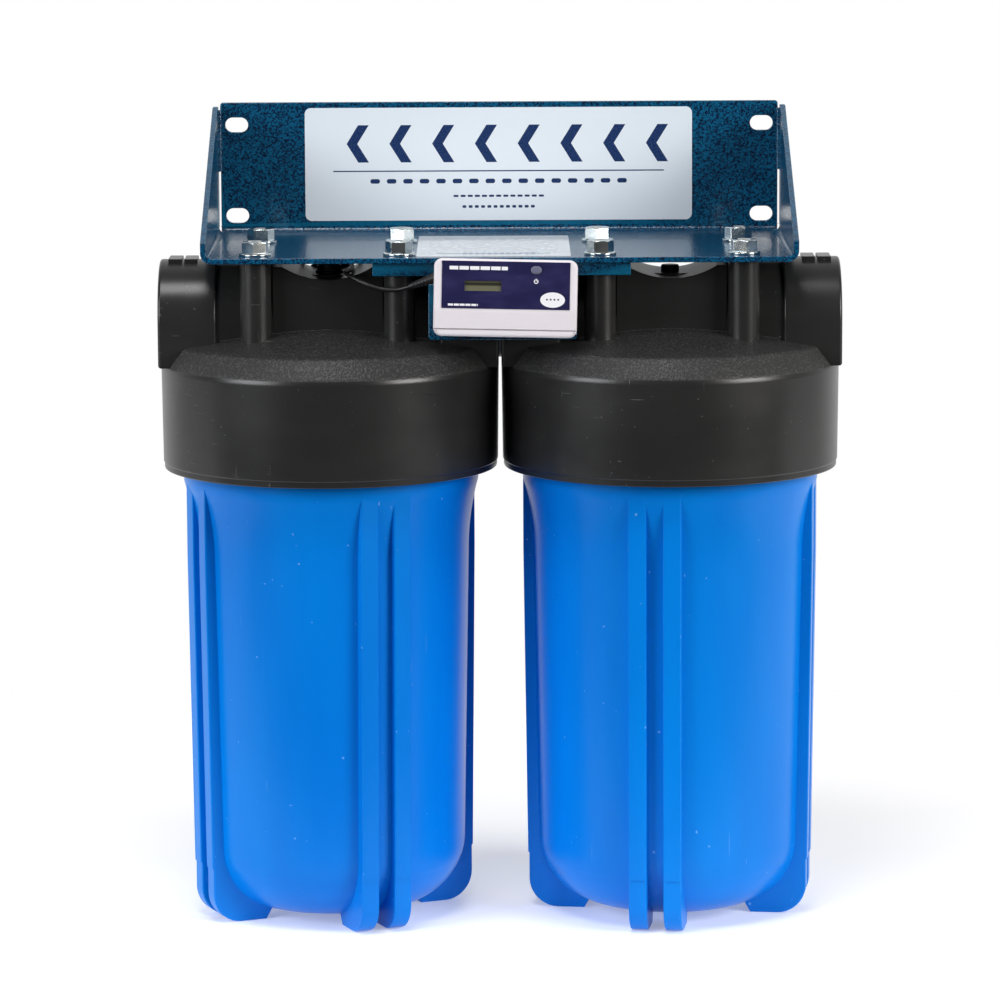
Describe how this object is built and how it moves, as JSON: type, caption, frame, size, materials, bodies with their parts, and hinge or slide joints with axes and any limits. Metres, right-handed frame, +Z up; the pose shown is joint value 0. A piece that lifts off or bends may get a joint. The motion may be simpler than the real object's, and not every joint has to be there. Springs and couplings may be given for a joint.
{
  "type": "twin-canister water purifier unit",
  "caption": "Two ribbed filter canisters side by side under a folded wall bracket, with threaded ports at the ends and a small water-quality monitor in front.",
  "frame": {"origin": "on the floor under the middle of the unit's bounding box, between the two canisters", "axes": "+Z up, +Y towards the wall, +X towards the inlet port; the front is -Y"},
  "size_m": [0.3694, 0.1931, 0.4381],
  "materials": {
    "bracket_paint": "hammertone gloss",
    "cap_plastic": "moulded satin",
    "nipple_plastic": "moulded satin",
    "zinc_bolt": "bright zinc",
    "back_label": "printed film",
    "shelf_label": "printed film",
    "pad_fabric": "hook and loop",
    "case_plastic": "satin",
    "label_film": "printed film",
    "display": "glossy",
    "board": "solder mask",
    "switch_plastic": "satin",
    "cell_steel": "brushed",
    "contact_brass": "plated",
    "screw_steel": "bright",
    "button_rubber": "matt",
    "cable_pvc": "satin",
    "tie_nylon": "translucent satin",
    "probe_plastic": "satin",
    "probe_steel": "polished",
    "seal_rubber": "satin",
    "valve_plastic": "satin",
    "spring_steel": "bright",
    "sump_plastic": "satin gloss",
    "sleeve_plastic": "satin",
    "filter_media": "granular",
    "core_plastic": "satin",
    "end_cap_plastic": "satin",
    "gasket_rubber": "matt"
  },
  "bodies": {
    "frame": {"wall_bracket": "bracket_paint", "left_cap": "cap_plastic", "right_cap": "cap_plastic", "joining_nipple": "nipple_plastic", "cap_bolts": "zinc_bolt", "back_label": "back_label", "shelf_label": "shelf_label", "monitor_bracket": "bracket_paint", "mounting_pad": "pad_fabric", "monitor_front_shell": "case_plastic", "monitor_back_shell": "case_plastic", "monitor_label": "label_film", "display_module": "display", "circuit_board": "board", "power_switch": "switch_plastic", "button_cells": "cell_steel", "battery_contacts": "contact_brass", "battery_cover": "case_plastic", "case_screws": "screw_steel", "cable_sleeve": "cable_pvc", "sensor_cable": "cable_pvc", "cable_coil": "cable_pvc", "cable_tail": "cable_pvc", "cable_tie": "tie_nylon", "probe_body": "probe_plastic", "probe_pins": "probe_steel", "probe_seal": "seal_rubber", "relief_spring": "spring_steel"},
    "left_seal": {"left_o_ring": "seal_rubber"},
    "left_bowl": {"left_sump": "sump_plastic", "left_cartridge_sleeve": "sleeve_plastic", "left_cartridge_media": "filter_media", "left_cartridge_core": "core_plastic", "left_cartridge_top_cap": "end_cap_plastic", "left_cartridge_bottom_cap": "end_cap_plastic", "left_cartridge_gaskets": "gasket_rubber"},
    "right_seal": {"right_o_ring": "seal_rubber"},
    "right_bowl": {"right_sump": "sump_plastic", "right_cartridge_sleeve": "sleeve_plastic", "right_cartridge_media": "filter_media", "right_cartridge_core": "core_plastic", "right_cartridge_top_cap": "end_cap_plastic", "right_cartridge_bottom_cap": "end_cap_plastic", "right_cartridge_gaskets": "gasket_rubber"},
    "power_key": {"power_button": "button_rubber"},
    "relief_valve": {"relief_button": "valve_plastic", "relief_seal": "seal_rubber"}
  },
  "joints": [
    {"name": "left_drop", "type": "slide", "parent": "frame", "child": "left_seal", "axis": [0, 0, -1], "range_m": [0, 0.021]},
    {"name": "left_unscrew", "type": "hinge", "parent": "left_seal", "child": "left_bowl", "pos_m": [-0.0927, -0.00455, 0.25], "axis": [0, 0, -1], "range_deg": [0, 1260]},
    {"name": "right_drop", "type": "slide", "parent": "frame", "child": "right_seal", "axis": [0, 0, -1], "range_m": [0, 0.021]},
    {"name": "right_unscrew", "type": "hinge", "parent": "right_seal", "child": "right_bowl", "pos_m": [0.0927, -0.00455, 0.25], "axis": [0, 0, -1], "range_deg": [0, 1260]},
    {"name": "power_press", "type": "slide", "parent": "frame", "child": "power_key", "axis": [0, 0.9925, -0.1219], "range_m": [0, 0.0008], "stiffness_N_per_m": 300, "springref_m": -0.001},
    {"name": "relief_press", "type": "slide", "parent": "frame", "child": "relief_valve", "axis": [0, 0, -1], "range_m": [0, 0.002], "stiffness_N_per_m": 1500, "springref_m": -0.002, "deforming": ["relief_spring"]}
  ],
  "couplings": [
    {"joint": "left_drop", "follows": "left_unscrew", "m_per_rad": 0.000954},
    {"joint": "right_drop", "follows": "right_unscrew", "m_per_rad": 0.000954}
  ]
}
